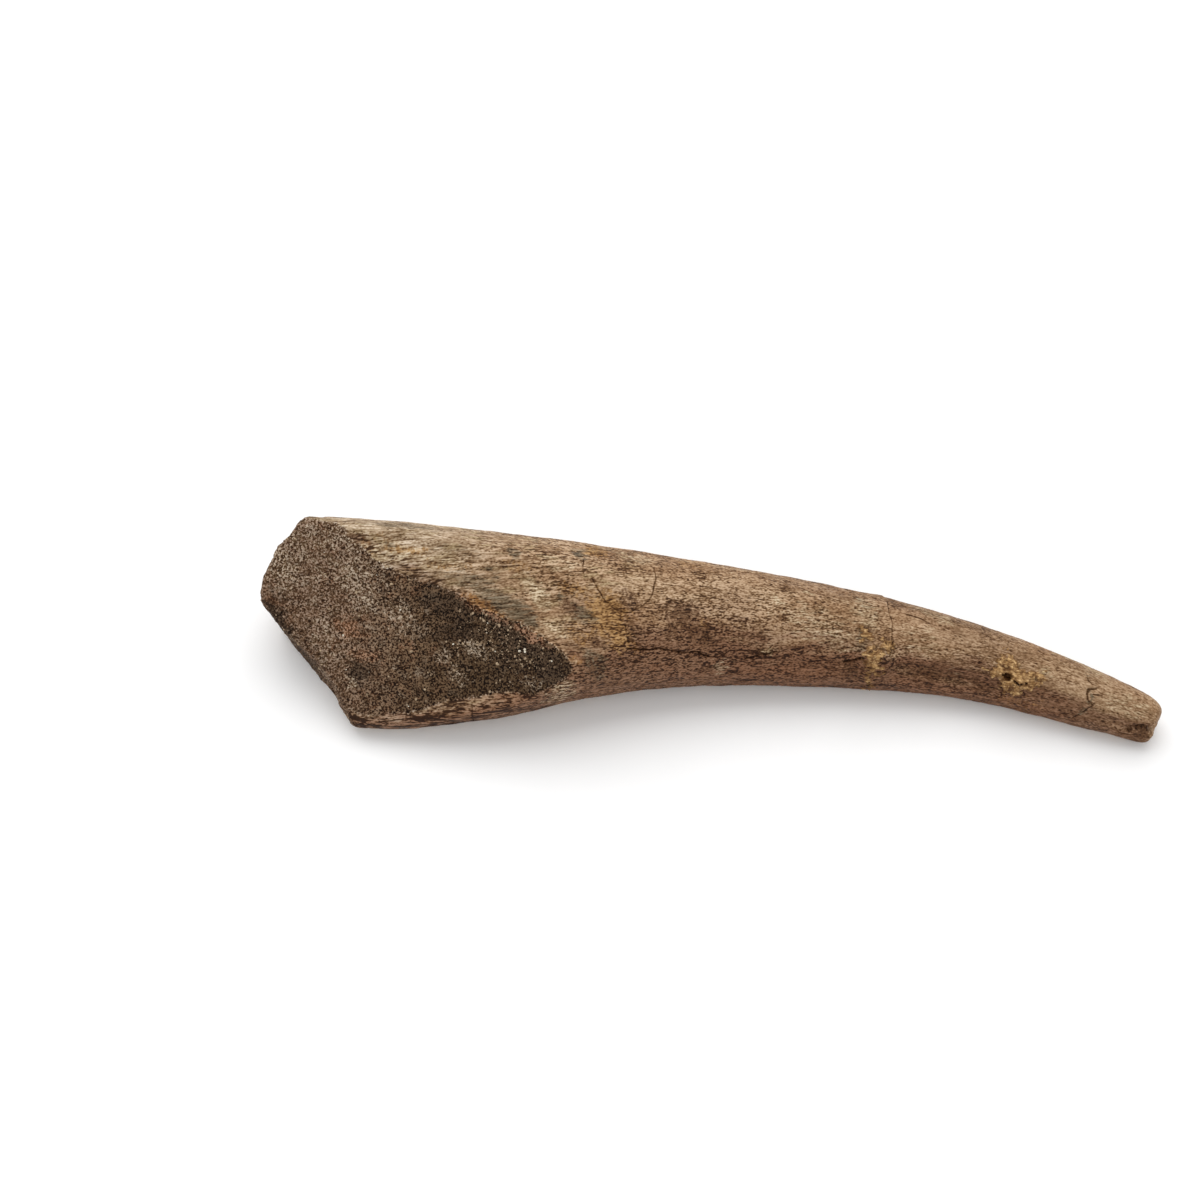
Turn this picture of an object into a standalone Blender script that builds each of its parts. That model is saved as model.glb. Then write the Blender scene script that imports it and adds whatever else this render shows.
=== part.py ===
"""Fossil claw of a dinosaur: the bony core of one toe claw, in a single piece, lying on its flank.

Frame: X runs from the joint end to the tip, +Y towards the back (dorsal edge) of the claw, +Z up.
The origin is on the resting plane, under the middle of the claw's box. Lengths below are in millimetres.

The claw is a loft through sections that follow its outline. The worn and broken faces are cut off it, a
blood-vessel groove is sunk along each flank, and low mounds of sandstone crust are joined on. A voxel
remesh then rounds every edge the way wear does, and a last flat cut makes the face the claw rests on.
"""

import math
from collections import namedtuple

import bmesh
import bpy
import numpy as np
from mathutils import Matrix, Vector

MM = 0.001
CLAW = "claw"

# One cross-section: where it stands along the claw, its ventral and dorsal edges, and its thickness.
Station = namedtuple("Station", "x ventral dorsal top")
STATIONS = (
    Station(-68.0, -12.5, 12.0, 20.4),
    Station(-58.0, -13.4, 12.9, 21.4),
    Station(-46.0, -13.7, 13.9, 21.2),
    Station(-32.0, -12.0, 14.6, 20.2),
    Station(-25.0, -10.4, 14.9, 19.4),
    Station(-18.0, -7.4, 15.0, 18.5),
    Station(-4.0, -2.5, 15.2, 16.4),
    Station(10.0, 0.4, 15.2, 14.2),
    Station(24.0, 2.1, 14.6, 12.0),
    Station(38.0, 2.7, 12.9, 10.0),
    Station(52.0, 1.1, 9.6, 8.2),
    Station(64.4, -0.4, 5.8, 6.4),
)

# The section's shape, counterclockwise from the dorsal edge as seen from the tip: across the claw from
# -1 (ventral) to 1 (dorsal), and up from 0 (underside) to 1 (upper flank).
BASE_SECTION = (
    (1.00, 0.46),
    (0.87, 0.76),
    (0.51, 1.00),
    (-0.20, 0.97),
    (-0.78, 0.84),
    (-0.85, 0.44),
    (-1.00, 0.15),
    (-0.84, 0.01),
    (-0.10, -0.01),
    (0.60, 0.04),
    (0.92, 0.22),
)
MIDDLE_SECTION = (
    (1.00, 0.45),
    (0.88, 0.76),
    (0.40, 0.99),
    (-0.18, 0.97),
    (-0.68, 0.86),
    (-0.94, 0.66),
    (-0.98, 0.42),
    (-0.78, 0.10),
    (-0.10, -0.01),
    (0.55, 0.03),
    (0.90, 0.20),
)
SHAFT_SECTION = (
    (1.00, 0.47),
    (0.87, 0.76),
    (0.38, 0.99),
    (-0.15, 0.95),
    (-0.62, 0.78),
    (-0.91, 0.56),
    (-0.99, 0.34),
    (-0.78, 0.06),
    (-0.10, -0.01),
    (0.50, 0.03),
    (0.88, 0.20),
)
# Where along the claw each shape is reached, with an even change from one to the next.
SHAPES = ((-46.0, BASE_SECTION), (-18.0, MIDDLE_SECTION), (12.0, SHAFT_SECTION))

RINGS, AROUND = 110, 66
TIP_ROUNDING = 2.6

# A broken or worn face: a point on it, the way it faces, and how deep and how wide it is dished.
Face = namedtuple("Face", "name point normal dish reach")
FACES = (
    Face("upper_flank", (-34.1, 1.2, 17.3), (0.0575, -0.37, 0.93), 0.0, 18.0),
    Face("ventral_break", (-34.1, 1.2, 17.3), (-0.09, -0.64, 0.76), 0.25, 14.0),
    Face("joint_hollow", (-53.1, -9.3, 6.8), (-0.703, -0.64, -0.20), 1.7, 5.5),
    Face("joint_lip_upper", (-57.9, 7.7, 19.9), (-0.65, 0.65, 0.10), 0.0, 18.0),
    Face("joint_lip_lower", (-61.6, 3.3, 15.7), (-0.90, 0.35, 0.09), 0.0, 18.0),
    Face("joint_corner", (-62.3, 0.2, 13.2), (-0.98, -0.05, -0.10), 0.0, 18.0),
    Face("tip_break", (64.3, 3.6, 3.2), (0.93, -0.36, 0.0), 0.0, 18.0),
)
CUTTER_REACH = 60.0

# The vessel groove of each flank: points near the surface along it, each with how deep it is sunk there.
GROOVE_RADIUS = 1.5
GROOVES = {
    "upper_groove": (
        (14.0, 2.1, 8.5, 0.0),
        (23.0, 3.3, 8.0, 0.55),
        (34.4, 3.8, 6.9, 0.6),
        (41.6, 3.2, 5.9, 0.4),
        (48.6, 2.5, 5.5, 0.15),
        (54.3, 1.7, 5.0, 0.2),
        (61.6, 0.4, 3.7, 0.5),
        (66.0, 0.2, 3.6, 0.9),
    ),
    "under_groove": (
        (10.0, 4.5, 1.0, 0.0),
        (24.0, 5.5, 1.0, 0.6),
        (40.0, 5.0, 1.0, 0.6),
        (56.0, 2.5, 0.8, 0.2),
    ),
}

# Sandstone fused to the bone: a point near each mound's foot, its radius, and how high it stands.
Mound = namedtuple("Mound", "name point radius height")
MOUNDS = (
    Mound("crust_a", (22.4, 6.6, 11.0), 2.6, 0.35),
    Mound("crust_b", (24.2, 4.9, 9.7), 2.8, 0.5),
    Mound("crust_c", (24.0, 3.8, 8.4), 2.6, 0.3),
    Mound("crust_d", (41.2, 5.4, 8.4), 2.4, 0.6),
    Mound("crust_e", (44.2, 4.0, 7.1), 2.8, 0.5),
    Mound("crust_f", (47.4, 4.4, 7.0), 2.6, 0.45),
)

VOXEL = 0.6
SMOOTHINGS = 3
MOST_TRIANGLES = 9400
REST_TRIM = 0.25
SHARP_ANGLE = math.radians(40)

FOSSIL_BONE = (0.213, 0.138, 0.088, 1.0)
FOSSIL_BONE_ROUGHNESS = 0.62


def through(points, at):
    """A smooth curve through (x, value) points, read at the given x values."""
    xs, ys = np.array(points, float).T
    slopes = np.gradient(ys, xs)
    i = np.clip(np.searchsorted(xs, at) - 1, 0, len(xs) - 2)
    run = xs[i + 1] - xs[i]
    t = (at - xs[i]) / run
    return (
        (2 * t**3 - 3 * t**2 + 1) * ys[i]
        + (t**3 - 2 * t**2 + t) * run * slopes[i]
        + (3 * t**2 - 2 * t**3) * ys[i + 1]
        + (t**3 - t**2) * run * slopes[i + 1]
    )


def closed_curve(points, count):
    """A closed Catmull-Rom curve through the points, as count points evenly spread in its parameter."""
    p = np.array(points, float)
    t = np.arange(count) * len(p) / count
    i = t.astype(int)
    f = (t - i)[:, None]
    a, b, c, d = (p[(i + k) % len(p)] for k in (-1, 0, 1, 2))
    return 0.5 * (2 * b + (c - a) * f + (2 * a - 5 * b + 4 * c - d) * f**2 + (3 * b - a - 3 * c + d) * f**3)


def smooth_step(low, high, value):
    t = min(max((value - low) / (high - low), 0.0), 1.0)
    return t * t * (3 - 2 * t)


def section(x):
    """The outline of the claw at x, as points in the plane across it."""
    unit = closed_curve(SHAPES[0][1], AROUND)
    for (start, _), (end, shape) in zip(SHAPES, SHAPES[1:]):
        share = smooth_step(start, end, x)
        unit = (1 - share) * unit + share * closed_curve(shape, AROUND)
    ventral, dorsal, top = (
        float(through([(s.x, getattr(s, edge)) for s in STATIONS], x))
        for edge in ("ventral", "dorsal", "top")
    )
    middle, half = (dorsal + ventral) / 2, (dorsal - ventral) / 2
    near_tip = STATIONS[-1].x - x
    shrink = 1.0
    if near_tip < TIP_ROUNDING:
        shrink = math.sqrt(max(1 - (1 - near_tip / TIP_ROUNDING) ** 2, 0.0)) * 0.55 + 0.45
    centre = np.array((middle, top / 2))
    outline = np.stack((middle + half * unit[:, 0], top * unit[:, 1]), axis=1)
    return centre + (outline - centre) * shrink


def new_object(name, bm, collection):
    mesh = bpy.data.meshes.new(name)
    bm.to_mesh(mesh)
    bm.free()
    made = bpy.data.objects.new(name, mesh)
    collection.objects.link(made)
    return made


def shaft(collection):
    """The whole claw before anything is cut from it: rings of the section, joined ring to ring."""
    bm = bmesh.new()
    first, last = STATIONS[0].x, STATIONS[-1].x
    body = np.linspace(first, last - TIP_ROUNDING, RINGS)
    tip = last - TIP_ROUNDING * (1 - np.sin(np.linspace(0, math.pi / 2, 7)[1:]))
    rings = []
    for x in (*body, *tip):
        rings.append([bm.verts.new((x * MM, y * MM, z * MM)) for y, z in section(x)])
    for a, b in zip(rings, rings[1:]):
        for k in range(AROUND):
            n = (k + 1) % AROUND
            bm.faces.new((a[k], b[k], b[n], a[n]))
    bm.faces.new(rings[0])
    bm.faces.new(reversed(rings[-1]))
    bmesh.ops.recalc_face_normals(bm, faces=bm.faces)
    return new_object(CLAW, bm, collection)


def face_cutter(face, collection):
    """A thick slab whose underside is the face left on the claw, domed so that the face is dished."""
    bm = bmesh.new()
    bmesh.ops.create_grid(bm, x_segments=40, y_segments=40, size=CUTTER_REACH * MM)
    for v in bm.verts:
        r = math.hypot(v.co.x, v.co.y) / (face.reach * MM)
        v.co.z = -face.dish * MM * math.exp(-r * r)
    top = bmesh.ops.extrude_face_region(bm, geom=bm.faces[:])["geom"]
    for v in (g for g in top if isinstance(g, bmesh.types.BMVert)):
        v.co.z = CUTTER_REACH * MM
    bmesh.ops.recalc_face_normals(bm, faces=bm.faces)
    turn = Vector(face.normal).to_track_quat("Z", "Y").to_matrix().to_4x4()
    bm.transform(Matrix.Translation(Vector(face.point) * MM) @ turn)
    return new_object(face.name, bm, collection)


def on_surface(target, point):
    """The nearest point of the claw's surface, and the way the surface faces there."""
    _, location, normal, _ = target.closest_point_on_mesh(Vector(point) * MM)
    return location, normal


def groove_cutter(name, route, target, collection):
    """A round rod laid along the flank, sunk by the last figure of each point of its route."""
    along = np.linspace(route[0][0], route[-1][0], 60)
    bm = bmesh.new()
    rings = []
    for x in along:
        y, z, depth = (float(through([(p[0], p[k]) for p in route], x)) for k in (1, 2, 3))
        location, normal = on_surface(target, (x, y, z))
        centre = location + normal * (GROOVE_RADIUS - depth) * MM
        ring = []
        for k in range(16):
            angle = 2 * math.pi * k / 16
            around = Vector((0, math.cos(angle), math.sin(angle))) * GROOVE_RADIUS * MM
            ring.append(bm.verts.new(centre + around))
        rings.append(ring)
    for a, b in zip(rings, rings[1:]):
        for k in range(16):
            n = (k + 1) % 16
            bm.faces.new((a[k], b[k], b[n], a[n]))
    bm.faces.new(rings[0])
    bm.faces.new(reversed(rings[-1]))
    bmesh.ops.recalc_face_normals(bm, faces=bm.faces)
    return new_object(name, bm, collection)


def mound(shape, target, collection):
    """A low dome, half sunk in the surface, for one lump of crust."""
    location, normal = on_surface(target, shape.point)
    bm = bmesh.new()
    bmesh.ops.create_icosphere(bm, subdivisions=4, radius=1.0)
    squash = Matrix.Diagonal((shape.radius, shape.radius, 1.0)) * MM
    squash[2][2] = 2 * shape.height * MM
    turn = normal.to_track_quat("Z", "Y").to_matrix()
    bm.transform((turn @ squash).to_4x4())
    bmesh.ops.translate(bm, verts=bm.verts, vec=location - normal * shape.height * MM)
    return new_object(shape.name, bm, collection)


def hide_cutter(cutter):
    cutter.hide_render = True
    cutter.display_type = "WIRE"


def boolean(target, other, operation):
    modifier = target.modifiers.new(other.name, "BOOLEAN")
    modifier.operation = operation
    modifier.object = other


def apply_modifiers(target):
    """Replaces the object's mesh with what its modifiers make of it."""
    graph = bpy.context.evaluated_depsgraph_get()
    made = bpy.data.meshes.new_from_object(target.evaluated_get(graph))
    target.modifiers.clear()
    target.data = made


def wear_edges(target):
    """An even voxel skin, smoothed, so that every cut edge is rounded."""
    remesh = target.modifiers.new("even_skin", "REMESH")
    remesh.mode = "VOXEL"
    remesh.voxel_size = VOXEL * MM
    smooth = target.modifiers.new("worn_edges", "SMOOTH")
    smooth.iterations = SMOOTHINGS
    apply_modifiers(target)


def thin_out(target):
    """Fewer triangles where the surface is plain."""
    target.data.calc_loop_triangles()
    decimate = target.modifiers.new("fewer_faces", "DECIMATE")
    decimate.ratio = MOST_TRIANGLES / len(target.data.loop_triangles)
    apply_modifiers(target)


def rest_cutter(target, collection):
    """A block under the claw that cuts its lowest skin off flat."""
    lowest = min(v.co.z for v in target.data.vertices)
    bm = bmesh.new()
    bmesh.ops.create_cube(bm, size=4 * CUTTER_REACH * MM)
    drop = lowest + REST_TRIM * MM - 2 * CUTTER_REACH * MM
    bmesh.ops.translate(bm, verts=bm.verts, vec=(0, 0, drop))
    return new_object("rest_cut", bm, collection)


def centre_on_origin(target):
    """Moves the mesh so that its box stands centred on the origin."""
    points = np.array([v.co for v in target.data.vertices])
    low, high = points.min(axis=0), points.max(axis=0)
    offset = Vector((-(low[0] + high[0]) / 2, -(low[1] + high[1]) / 2, -low[2]))
    target.data.transform(Matrix.Translation(offset))


def fossil_bone():
    """Mineralised bone: a dull, warm brown."""
    material = bpy.data.materials.new("fossil_bone")
    material.use_nodes = True
    bsdf = material.node_tree.nodes["Principled BSDF"]
    bsdf.inputs["Base Color"].default_value = FOSSIL_BONE
    bsdf.inputs["Roughness"].default_value = FOSSIL_BONE_ROUGHNESS
    bsdf.inputs["Metallic"].default_value = 0.0
    return material


def main():
    for old in list(bpy.data.objects):
        bpy.data.objects.remove(old)
    parts = bpy.data.collections.new("fossil_claw")
    cutters = bpy.data.collections.new("cutters")
    bpy.context.scene.collection.children.link(parts)
    bpy.context.scene.collection.children.link(cutters)

    claw = shaft(parts)
    for face in FACES:
        cutter = face_cutter(face, cutters)
        hide_cutter(cutter)
        boolean(claw, cutter, "DIFFERENCE")
    apply_modifiers(claw)
    for name, route in GROOVES.items():
        cutter = groove_cutter(name, route, claw, cutters)
        hide_cutter(cutter)
        boolean(claw, cutter, "DIFFERENCE")
    for shape in MOUNDS:
        lump = mound(shape, claw, cutters)
        hide_cutter(lump)
        boolean(claw, lump, "UNION")
    wear_edges(claw)
    thin_out(claw)
    cutter = rest_cutter(claw, cutters)
    hide_cutter(cutter)
    boolean(claw, cutter, "DIFFERENCE")
    apply_modifiers(claw)
    centre_on_origin(claw)
    claw.data.shade_smooth()
    claw.data.set_sharp_from_angle(angle=SHARP_ANGLE)
    claw.data.materials.clear()
    claw.data.materials.append(fossil_bone())


main()
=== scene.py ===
import math
import random
from collections import namedtuple

import bmesh
import bpy
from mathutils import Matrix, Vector
from mathutils.bvhtree import BVHTree
from mathutils.kdtree import KDTree


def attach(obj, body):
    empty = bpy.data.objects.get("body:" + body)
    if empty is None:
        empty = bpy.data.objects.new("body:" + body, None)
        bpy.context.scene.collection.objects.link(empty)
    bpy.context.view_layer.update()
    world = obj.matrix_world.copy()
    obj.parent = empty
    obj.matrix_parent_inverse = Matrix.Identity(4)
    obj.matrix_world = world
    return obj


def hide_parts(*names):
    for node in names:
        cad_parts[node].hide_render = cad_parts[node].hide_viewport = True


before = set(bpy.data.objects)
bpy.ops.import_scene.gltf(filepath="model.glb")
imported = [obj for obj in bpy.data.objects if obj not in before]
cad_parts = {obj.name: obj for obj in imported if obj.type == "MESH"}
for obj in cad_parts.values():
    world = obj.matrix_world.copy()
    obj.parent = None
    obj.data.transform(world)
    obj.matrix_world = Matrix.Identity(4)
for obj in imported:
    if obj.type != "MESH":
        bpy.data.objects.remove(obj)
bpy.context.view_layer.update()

MM = 0.001
TO_MM = 1000.0

# ---------------------------------------------------------------- camera, floor and light

VIEW_TILT = math.radians(61.567)
VIEW_TURN = math.radians(8.25)
LOOKING_AT = Vector((-17.27, 11.70, 0.0)) * MM
VIEW_DISTANCE = 376.75 * MM
LENS = 78.03
FILM_WIDTH = 36.0

# Each soft light: where it hangs, its width and height, its watts and its colour.
LIGHTS = {
    "window_light": ((-0.10, 0.32, 0.57), (0.80, 0.60), 2.8, (1.0, 1.0, 1.0)),
    "fill_light": ((0.15, -0.50, 0.60), (0.60, 0.60), 0.2, (1.0, 0.97, 0.94)),
}
ROOM_LIGHT = 0.80
ROOM_WHITE = (1.0, 1.0, 1.0, 1.0)


def towards_viewer():
    level = math.cos(VIEW_TILT)
    return Vector((math.sin(VIEW_TURN) * level, -math.cos(VIEW_TURN) * level, math.sin(VIEW_TILT)))


def make_camera():
    data = bpy.data.cameras.new("camera")
    data.lens = LENS
    data.sensor_width = FILM_WIDTH
    data.clip_start = 0.01
    data.clip_end = 10.0
    camera = bpy.data.objects.new("camera", data)
    bpy.context.scene.collection.objects.link(camera)
    camera.location = LOOKING_AT + towards_viewer() * VIEW_DISTANCE
    camera.rotation_euler = towards_viewer().to_track_quat("Z", "Y").to_euler()
    bpy.context.scene.camera = camera


def softbox(name, place, size, watts, colour):
    """A soft light that looks at the middle of the table."""
    data = bpy.data.lights.new(name, "AREA")
    data.shape = "RECTANGLE"
    data.size, data.size_y = size
    data.energy = watts
    data.color = colour
    light = bpy.data.objects.new(name, data)
    bpy.context.scene.collection.objects.link(light)
    light.location = place
    light.rotation_euler = Vector(place).to_track_quat("Z", "Y").to_euler()


def light_the_table():
    scene = bpy.context.scene
    world = bpy.data.worlds.new("studio")
    world.use_nodes = True
    background = world.node_tree.nodes["Background"].inputs
    background["Color"].default_value = ROOM_WHITE
    background["Strength"].default_value = ROOM_LIGHT
    scene.world = world
    scene.view_settings.view_transform = "Standard"
    scene.view_settings.look = "None"
    for name, settings in LIGHTS.items():
        softbox(name, *settings)


# ---------------------------------------------------------------- node helpers


class Nodes:
    """Adds nodes to one tree. A value is a number, a tuple or another node's output."""

    def __init__(self, tree):
        self.tree = tree

    def put(self, socket, value):
        if isinstance(value, bpy.types.NodeSocket):
            self.tree.links.new(value, socket)
        elif value is not None:
            socket.default_value = value

    def add(self, kind, inputs=(), out=0, **settings):
        node = self.tree.nodes.new(kind)
        for name, value in settings.items():
            setattr(node, name, value)
        for key, value in dict(inputs).items():
            self.put(node.inputs[key], value)
        return node.outputs[out]

    def math(self, operation, *values):
        return self.add("ShaderNodeMath", dict(enumerate(values)), operation=operation)

    def vector(self, operation, *values, scale=None, out=0):
        inputs = dict(enumerate(values))
        if scale is not None:
            inputs["Scale"] = scale
        return self.add("ShaderNodeVectorMath", inputs, out=out, operation=operation)

    def parts(self, vector):
        """The x, y and z of a vector."""
        node = self.tree.nodes.new("ShaderNodeSeparateXYZ")
        self.put(node.inputs[0], vector)
        return node.outputs

    def times(self, a, b):
        return self.math("MULTIPLY", a, b)

    def plus(self, a, b):
        return self.math("ADD", a, b)

    def minus(self, a, b):
        return self.math("SUBTRACT", a, b)

    def most(self, a, b):
        return self.math("MAXIMUM", a, b)

    def least(self, a, b):
        return self.math("MINIMUM", a, b)

    def swing(self, noise, reach):
        """Noise as a number that swings either side of zero."""
        return self.times(self.minus(noise, 0.5), reach)

    def ramp(self, value, start, end, low=0.0, high=1.0):
        inputs = {0: value, 1: start, 2: end, 3: low, 4: high}
        return self.add("ShaderNodeMapRange", inputs, interpolation_type="SMOOTHSTEP")

    def blend(self, share, a, b):
        """A number between a and b."""
        return self.add("ShaderNodeMix", {0: share, 2: a, 3: b}, data_type="FLOAT")

    def tint(self, share, a, b):
        """A colour between a and b."""
        inputs = {0: share, 6: self.rgba(a), 7: self.rgba(b)}
        return self.add("ShaderNodeMix", inputs, out=2, data_type="RGBA")

    @staticmethod
    def rgba(colour):
        return (*colour, 1.0) if isinstance(colour, tuple) and len(colour) == 3 else colour

    def noise(self, place, scale, detail=4.0, rough=0.55, warp=0.0, out=0):
        inputs = {"Vector": place, "Scale": scale, "Detail": detail, "Roughness": rough, "Distortion": warp}
        return self.add("ShaderNodeTexNoise", inputs, out=out)

    def shake(self, place, scale, detail, rough, reach):
        """A vector that wanders either side of zero, up to half this reach."""
        wander = self.vector("SUBTRACT", self.noise(place, scale, detail, rough, out=1), (0.5, 0.5, 0.5))
        return self.vector("MULTIPLY", wander, reach)

    def cells(self, place, scale, feature="F1"):
        """How far the nearest of many scattered points is."""
        inputs = {"Vector": place, "Scale": scale}
        return self.add("ShaderNodeTexVoronoi", inputs, out="Distance", feature=feature)

    def stretched(self, run, along, across):
        """A place on the claw, with the pattern drawn out along it."""
        return self.vector("MULTIPLY", run, (along, across, across))

    def drawn(self, run, along, across, detail, rough=0.55, scale=1.0, warp=0.0):
        """Noise drawn out along the claw."""
        return self.noise(self.stretched(run, along, across), scale, detail, rough, warp)


def geometry_tree(name, sizes, seed):
    """A new Geometry Nodes tree with a named input for each size and one for the seed."""
    tree = bpy.data.node_groups.new(name, "GeometryNodeTree")
    tree.interface.new_socket(name="Geometry", in_out="INPUT", socket_type="NodeSocketGeometry")
    for label, value in sizes.items():
        socket = tree.interface.new_socket(name=label, in_out="INPUT", socket_type="NodeSocketFloat")
        socket.default_value = value
    socket = tree.interface.new_socket(name="Seed", in_out="INPUT", socket_type="NodeSocketInt")
    socket.default_value = seed
    tree.interface.new_socket(name="Geometry", in_out="OUTPUT", socket_type="NodeSocketGeometry")
    n = Nodes(tree)
    given = tree.nodes.new("NodeGroupInput").outputs
    result = tree.nodes.new("NodeGroupOutput").inputs[0]
    return n, given, result


def finished_mesh(piece, tree, sizes, seed, material):
    """Runs the tree on the piece with these sizes and keeps what comes out as the piece's plain mesh."""
    modifier = piece.modifiers.new(tree.name, "NODES")
    modifier.node_group = tree
    sockets = {s.name: s.identifier for s in tree.interface.items_tree if s.in_out == "INPUT"}
    for label, value in {**sizes, "Seed": seed}.items():
        modifier[sockets[label]] = value
    bpy.context.view_layer.update()
    graph = bpy.context.evaluated_depsgraph_get()
    made = bpy.data.meshes.new_from_object(piece.evaluated_get(graph))
    piece.modifiers.clear()
    piece.data = made
    if not made.materials:
        made.materials.append(material)
    return piece


def end_tree(n, geometry, result, material):
    """Every tree ends this way: real mesh, smooth, with its finish."""
    geometry = n.add("GeometryNodeRealizeInstances", {"Geometry": geometry})
    geometry = n.add("GeometryNodeSetShadeSmooth", {"Geometry": geometry})
    geometry = n.add("GeometryNodeSetMaterial", {"Geometry": geometry, "Material": material})
    n.put(result, geometry)


# ---------------------------------------------------------------- the claw's own marks, in millimetres

# The spongy break, seen from above: the crest of the flank, the rim along its foot, and round the joint.
BREAK_OUTLINE = (
    (-53.6, 12.6), (-53.2, 7.4), (-51.2, 5.8), (-49.6, 4.8), (-48.1, 3.9), (-46.6, 3.0),
    (-45.0, 2.5), (-43.0, 2.1), (-41.1, 1.7), (-37.9, 1.2), (-35.3, 0.6), (-33.5, -0.2),
    (-31.7, -0.9), (-29.1, -1.6), (-26.2, -2.1), (-24.2, -2.9), (-21.8, -4.0), (-20.0, -4.9),
    (-18.9, -6.0), (-18.7, -6.9), (-19.1, -7.7), (-20.1, -8.4), (-21.4, -9.2), (-23.8, -9.8),
    (-27.2, -9.5), (-29.4, -9.8), (-32.2, -10.5), (-34.9, -11.0), (-37.7, -11.6), (-39.0, -12.3),
    (-41.1, -12.7), (-43.2, -13.0), (-47.2, -13.3), (-49.5, -12.9), (-51.6, -12.0), (-53.0, -16.0),
    (-70.0, -16.0), (-70.0, 12.6),
)

# The way that each worn face of the joint end faces.
JOINT_FACES = (
    (-0.724, -0.659, -0.206),
    (-0.703, 0.703, 0.108),
    (-0.928, 0.361, 0.093),
    (-0.993, -0.051, -0.101),
)

# The middle line of the claw bends: its y at x, as a cubic.
BEND = (5.35, 0.123, -0.00175, -0.0000105)

# Stains: middle of the patch, its half-length and half-width, how far it is turned, and how strong it is.
OCHRE = (
    ((-43.4, 5.0, 19.7), 3.5, 0.7, 0, 0.75),
    ((-37.2, 3.8, 18.8), 4.7, 0.6, 5, 0.50),
    ((-46.8, 6.4, 20.4), 1.9, 0.7, 1, 0.35),
    ((-14.8, 0.8, 16.2), 3.7, 3.0, -42, 1.00),
    ((-19.9, 3.5, 17.6), 2.2, 1.0, -3, 0.70),
    ((-17.9, 10.5, 16.5), 1.8, 1.5, -20, 0.95),
    ((-18.1, -2.4, 15.1), 2.6, 1.6, -18, 0.50),
    ((-12.8, -1.3, 15.3), 2.8, 1.8, -54, 0.90),
    ((-1.5, 2.6, 14.3), 0.8, 0.6, -23, 0.70),
    ((-4.5, 11.7, 14.3), 2.6, 1.5, -10, 0.45),
    ((-28.1, 5.3, 18.8), 2.2, 1.1, -12, 0.45),
    ((29.1, 4.8, 9.5), 1.7, 0.3, 1, 0.20),
    ((-49.8, 1.2, 16.2), 2.3, 1.2, -22, 0.30),
)
RUST = (
    ((-31.8, -0.6, 16.6), 4.2, 0.75, -19, 0.85),
    ((-25.2, -3.1, 15.2), 3.4, 0.6, -22, 0.95),
    ((-18.0, -5.7, 13.8), 0.9, 0.7, -21, 0.60),
    ((-50.1, -4.0, 11.7), 2.3, 1.2, -16, 0.80),
    ((-47.7, -6.8, 9.6), 3.1, 0.8, 0, 0.55),
    ((-41.5, -5.4, 11.5), 1.9, 0.8, -41, 0.35),
    ((-10.3, -2.5, 13.8), 1.3, 0.6, -12, 0.40),
    ((43.5, 1.6, 5.7), 4.2, 0.5, -6, 0.35),
    ((-48.4, 5.0, 19.5), 1.9, 0.6, -28, 0.40),
)
SLATE = (
    ((-33.6, 2.4, 18.0), 4.6, 1.2, -6, 0.60),
    ((-28.8, 0.2, 16.9), 5.4, 1.6, -17, 0.85),
    ((-25.4, -1.3, 16.0), 1.7, 0.8, -19, 0.95),
    ((-31.2, 3.9, 18.5), 1.5, 0.9, -28, 0.60),
    ((-44.2, 9.0, 19.5), 6.9, 1.0, 8, 0.55),
    ((-35.6, 6.1, 19.6), 3.4, 0.8, -5, 0.35),
    ((-28.4, 7.0, 19.3), 1.4, 0.9, -15, 0.80),
    ((-19.7, 8.9, 17.7), 1.4, 1.0, -52, 1.00),
    ((-18.2, 0.4, 16.3), 2.5, 1.0, -26, 0.80),
    ((-21.3, 2.3, 17.2), 0.6, 0.6, -35, 0.90),
    ((-45.7, 5.4, 20.0), 1.0, 0.4, 0, 0.70),
    ((-34.7, -3.4, 13.9), 1.6, 0.7, -5, 0.70),
    ((-48.8, -9.5, 7.4), 0.9, 0.7, -17, 0.50),
    ((53.1, 2.6, 7.0), 1.0, 0.3, -56, 0.90),
    ((52.6, 1.1, 5.3), 0.9, 0.3, 20, 0.60),
    ((20.6, 9.4, 12.4), 3.1, 1.3, -40, 0.30),
    ((34.2, 3.6, 7.2), 2.4, 0.5, 13, 0.35),
    ((20.2, 5.0, 11.2), 1.7, 0.7, -62, 0.60),
    ((-11.9, 9.2, 16.9), 2.4, 0.9, 5, 0.30),
    ((52.2, 5.5, 8.0), 1.3, 0.9, -37, 0.35),
    ((-15.5, -5.2, 13.5), 1.9, 1.3, -20, 1.00),
    ((-26.8, 1.0, 17.1), 1.3, 0.7, -20, 0.60),
)
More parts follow.
